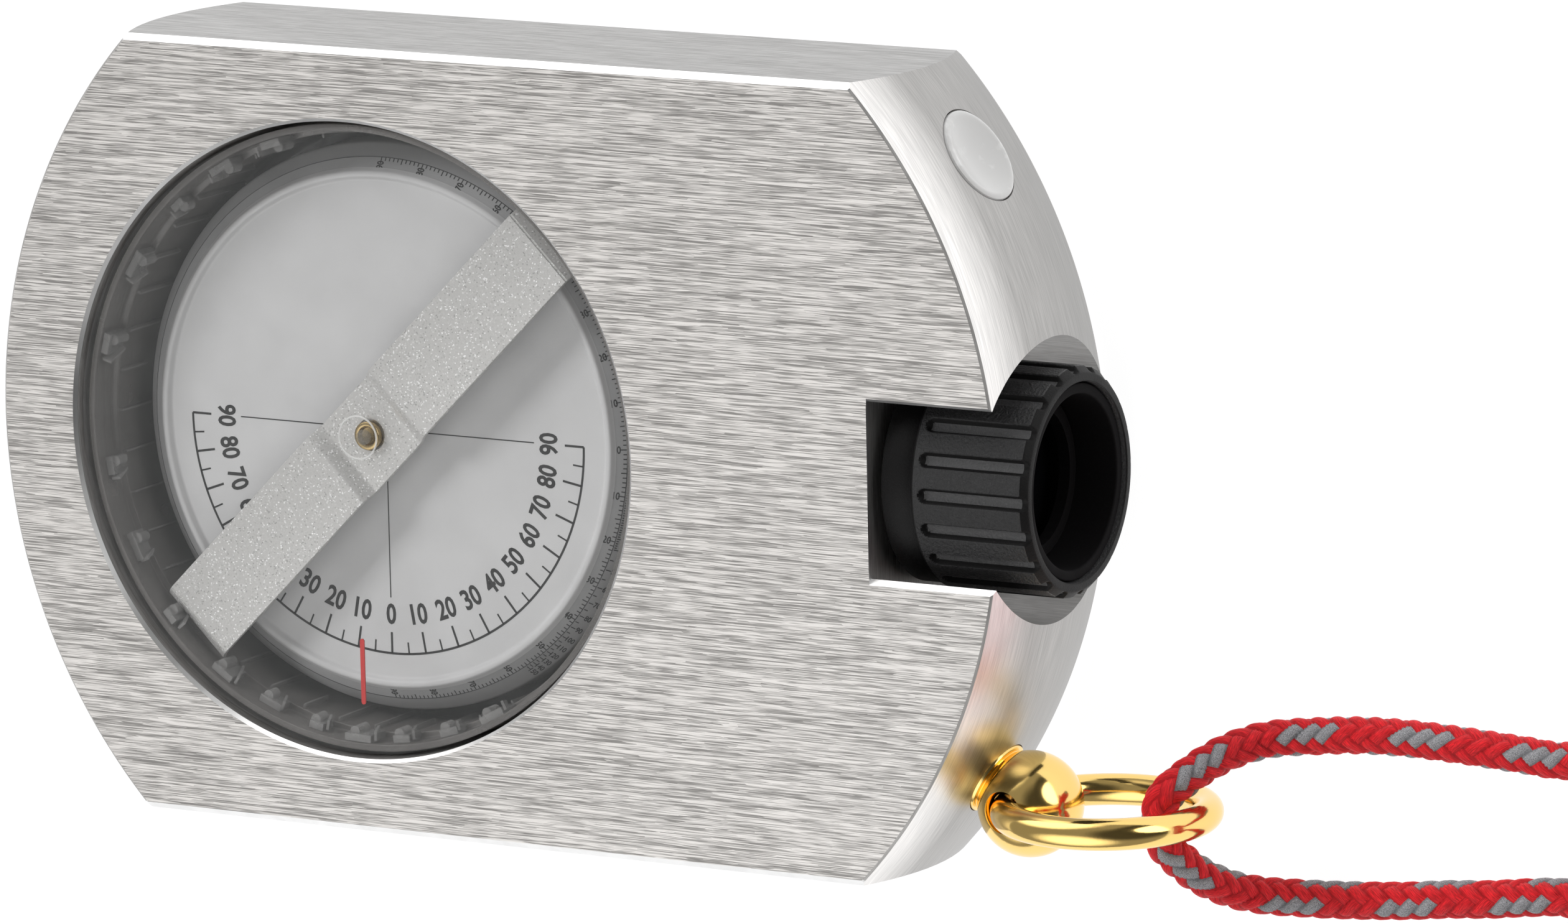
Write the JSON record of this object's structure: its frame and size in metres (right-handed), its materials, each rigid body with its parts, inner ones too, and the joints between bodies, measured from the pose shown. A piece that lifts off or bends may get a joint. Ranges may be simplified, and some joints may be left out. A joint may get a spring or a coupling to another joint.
{
  "type": "hand clinometer",
  "caption": "Flat aluminium hand clinometer with a sealed liquid-capsule dial, focusing eyepiece, light window and a lanyard ring with a red cord.",
  "frame": {"origin": "on the flat back face, at the centre of the round body", "axes": "+X towards the eyepiece, +Y towards the upper long edge, +Z out of the dial; it lies on its back"},
  "size_m": [0.1544, 0.0674, 0.015],
  "materials": {
    "aluminium": "brushed along the faces, turned on the rim, clear anodised",
    "clear_plastic": "clear moulded plastic",
    "lens_glass": "clear polished glass",
    "dial": "light grey satin",
    "silver_paint": "fine silver metallic paint",
    "brass": "turned",
    "jewel": "polished synthetic ruby",
    "steel": "ground",
    "black_plastic": "black, moulded, finely textured",
    "rubber": "black",
    "milky_plastic": "milky, polished",
    "gold_plate": "polished gold plate",
    "red_paint": "red",
    "cord": "red braid with grey flecks"
  },
  "bodies": {
    "root": {"housing": "aluminium", "capsule_cup": "clear_plastic", "capsule_window": "clear_plastic", "filler_plug": "black_plastic", "index_line": "red_paint", "rear_setting": "brass", "rear_jewel": "jewel", "front_setting": "brass", "front_jewel": "jewel", "bridge_bar": "silver_paint", "hairline_disc": "clear_plastic", "hair_line": "black_plastic", "eyepiece_bush": "black_plastic", "focus_o_ring": "rubber", "light_window": "milky_plastic", "ball_stud": "gold_plate"},
    "drum": {"scale_drum": "dial", "drum_weight": "brass", "drum_axle": "steel"},
    "focus": {"focus_tube": "black_plastic", "eye_lens": "lens_glass", "lens_ring": "black_plastic"},
    "grip": {"focus_grip": "black_plastic"},
    "lanyard": {"lanyard_ring": "gold_plate", "cord_upper": "cord", "cord_lower": "cord", "cord_coil": "cord", "cord_knot": "cord"}
  },
  "joints": [
    {"name": "drum_turn", "type": "hinge", "parent": "root", "child": "drum", "pos_m": [-0.01066, 0, 0.0075], "axis": [0, 0, 1], "continuous": true},
    {"name": "focus_slide", "type": "slide", "parent": "root", "child": "focus", "axis": [1, 0, 0], "range_m": [-0.0005, 0.0005]},
    {"name": "grip_turn", "type": "hinge", "parent": "focus", "child": "grip", "pos_m": [0.035, 0, 0.0075], "axis": [1, 0, 0], "range_deg": [-180, 180]},
    {"name": "ring_swing", "type": "hinge", "parent": "root", "child": "lanyard", "pos_m": [0.03495, -0.0213, 0.0075], "axis": [0, 0, 1], "range_deg": [-90, 45]}
  ],
  "couplings": [
    {"joint": "grip_turn", "follows": "focus_slide", "rad_per_m": 6283.2}
  ]
}
